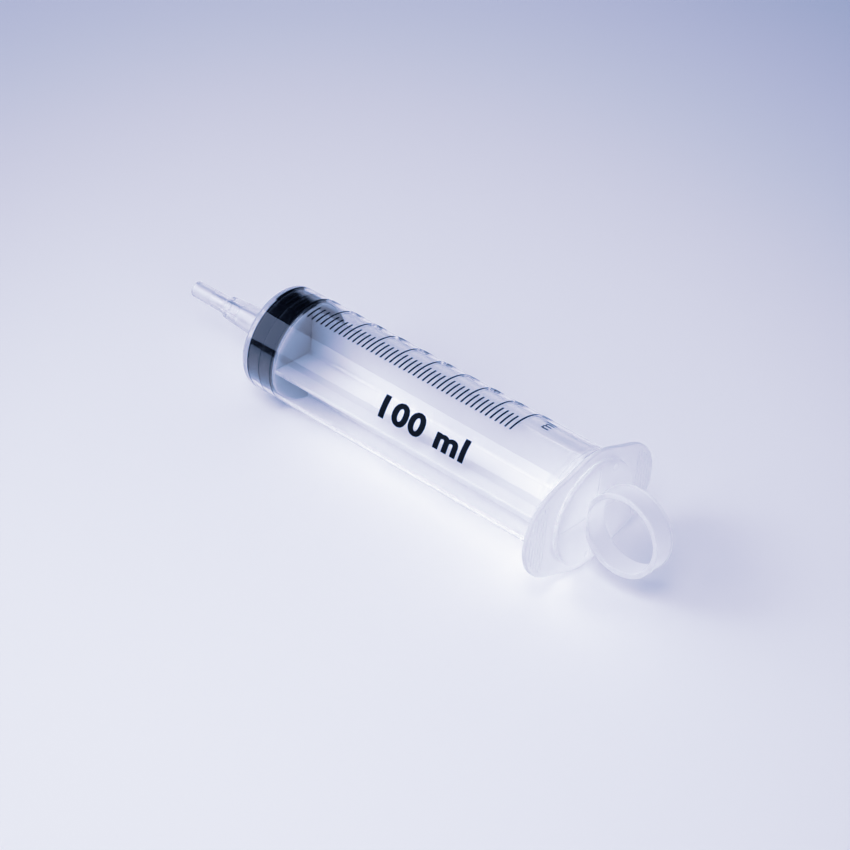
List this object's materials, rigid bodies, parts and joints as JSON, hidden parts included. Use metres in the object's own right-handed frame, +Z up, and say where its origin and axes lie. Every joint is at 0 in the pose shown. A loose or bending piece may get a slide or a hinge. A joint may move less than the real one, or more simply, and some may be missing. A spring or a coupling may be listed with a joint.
{
  "type": "catheter tip irrigation syringe",
  "caption": "Large irrigation syringe lying on its side: stepped catheter nozzle, clear graduated barrel with finger flange, black rubber stopper, and ribbed plunger rod with a thumb ring.",
  "frame": {"origin": "on the surface the syringe lies on, under the middle of its overall box", "axes": "+X runs from the nozzle to the thumb ring, level with the surface; +Z is up; the syringe's own axis rises 1.1 degrees towards the ring, and the long direction of the flange is turned 7 degrees about it"},
  "size_m": [0.2046, 0.0626, 0.0429],
  "materials": {
    "barrel_plastic": "clear moulded polypropylene, glossy",
    "rod_plastic": "milky translucent moulded polypropylene, satin",
    "stopper_rubber": "smooth black rubber",
    "scale_ink": "black printed scale marks"
  },
  "bodies": {
    "barrel": {"barrel": "barrel_plastic"},
    "stopper": {"stopper": "stopper_rubber"},
    "plunger_rod": {"plunger_rod": "rod_plastic"}
  },
  "joints": [
    {"name": "plunger_slide", "type": "slide", "parent": "barrel", "child": "stopper", "axis": [0.9998, 0, 0.0193], "range_m": [0, 0.115]},
    {"name": "rod_twist", "type": "hinge", "parent": "stopper", "child": "plunger_rod", "pos_m": [-0.05397, 0, 0.01902], "axis": [0.9998, 0, 0.0193], "continuous": true}
  ]
}
